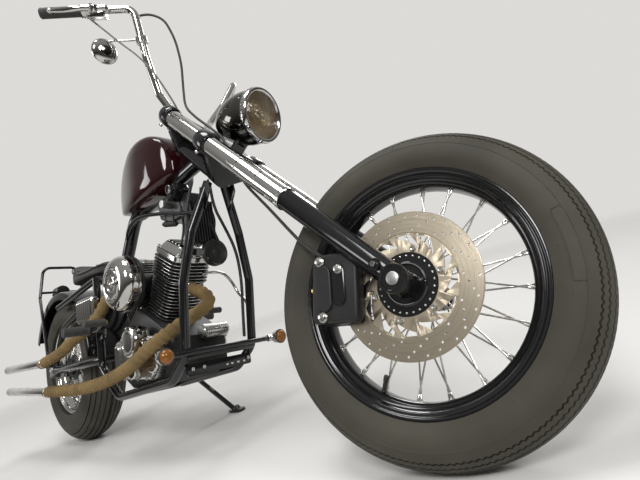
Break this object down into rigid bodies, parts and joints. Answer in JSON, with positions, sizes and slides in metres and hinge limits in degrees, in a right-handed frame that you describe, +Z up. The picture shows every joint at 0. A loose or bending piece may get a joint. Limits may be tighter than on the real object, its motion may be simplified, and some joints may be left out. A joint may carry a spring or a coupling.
{
  "type": "motorcycle",
  "caption": "Long-fork chopper motorcycle with a tall handlebar, wire wheels, wrapped exhausts and a narrow tank, parked on its side stand.",
  "frame": {"origin": "middle of the ground under the parked motorcycle's bounding box", "axes": "+X towards the front wheel along the motorcycle, +Y to its left, +Z up from the ground"},
  "size_m": [2.4877, 0.9086, 1.5229],
  "materials": {
    "tyre_rubber": "matt grey-black tyre rubber",
    "gloss_black": "gloss black enamel",
    "satin_black": "satin black enamel",
    "polished_steel": "polished steel",
    "disc_steel": "brushed steel",
    "plated_steel": "zinc plated steel",
    "chrome": "chromium plate",
    "dark_chrome": "black chromium plate",
    "clear_lens": "clear lamp glass",
    "black_rubber": "black rubber",
    "grey_cable": "grey cable sheath",
    "amber_lens": "amber lens in a chromed body",
    "polished_alloy": "polished aluminium",
    "black_plastic": "black plastic",
    "heat_wrap": "tan woven heat wrap",
    "maroon_paint": "deep maroon gloss paint",
    "black_leather": "black leather"
  },
  "bodies": {
    "chassis": {"backbone": "gloss_black", "cradle_right": "gloss_black", "cradle_left": "gloss_black", "cross_tubes": "gloss_black", "indicators": "amber_lens", "crankcase": "satin_black", "engine_covers": "chrome", "cylinders": "satin_black", "rocker_covers": "chrome", "air_cleaner": "chrome", "oil_filter": "polished_alloy", "horn": "black_plastic", "exhausts": "heat_wrap", "tank": "maroon_paint", "tank_cap": "chrome", "seat": "black_leather", "rear_fender": "maroon_paint", "swingarm": "gloss_black", "hoop": "gloss_black", "side_cover": "chrome", "foot_controls_right": "black_rubber", "foot_controls_left": "black_rubber", "rear_axle": "plated_steel"},
    "steering": {"front_axle": "plated_steel", "fork_legs": "gloss_black", "fork_tubes": "chrome", "lower_clamp": "gloss_black", "upper_clamp": "gloss_black", "handlebar": "chrome", "grips": "black_rubber", "levers": "chrome", "mirror": "chrome", "headlamp_shell": "dark_chrome", "headlamp_lens": "clear_lens", "brake_caliper": "satin_black", "brake_hose": "black_rubber", "throttle_cable": "grey_cable"},
    "front_wheel": {"front_tyre": "tyre_rubber", "front_rim": "gloss_black", "front_hub_spokes": "polished_steel", "brake_disc": "disc_steel"},
    "rear_wheel": {"rear_tyre": "tyre_rubber", "rear_rim": "gloss_black", "rear_hub_spokes": "polished_steel"},
    "side_stand": {"side_stand": "gloss_black"}
  },
  "joints": [
    {"name": "steering", "type": "hinge", "parent": "chassis", "child": "steering", "pos_m": [0.23448, -0.08234, 0.87931], "axis": [-0.7191, 0.1266, 0.6833], "range_deg": [-29.4, 0]},
    {"name": "front_wheel_spin", "type": "hinge", "parent": "steering", "child": "front_wheel", "pos_m": [0.90357, -0.16818, 0.3261], "axis": [-0.1763, 0.9178, -0.3557], "continuous": true},
    {"name": "rear_wheel_spin", "type": "hinge", "parent": "chassis", "child": "rear_wheel", "pos_m": [-0.91804, -0.18564, 0.32196], "axis": [0, 0.9833, -0.1822], "continuous": true},
    {"name": "side_stand_swing", "type": "hinge", "parent": "chassis", "child": "side_stand", "pos_m": [-0.2187, -0.06591, 0.17781], "axis": [0.0686, 0.8945, 0.4418], "range_deg": [0, 101.9]}
  ]
}
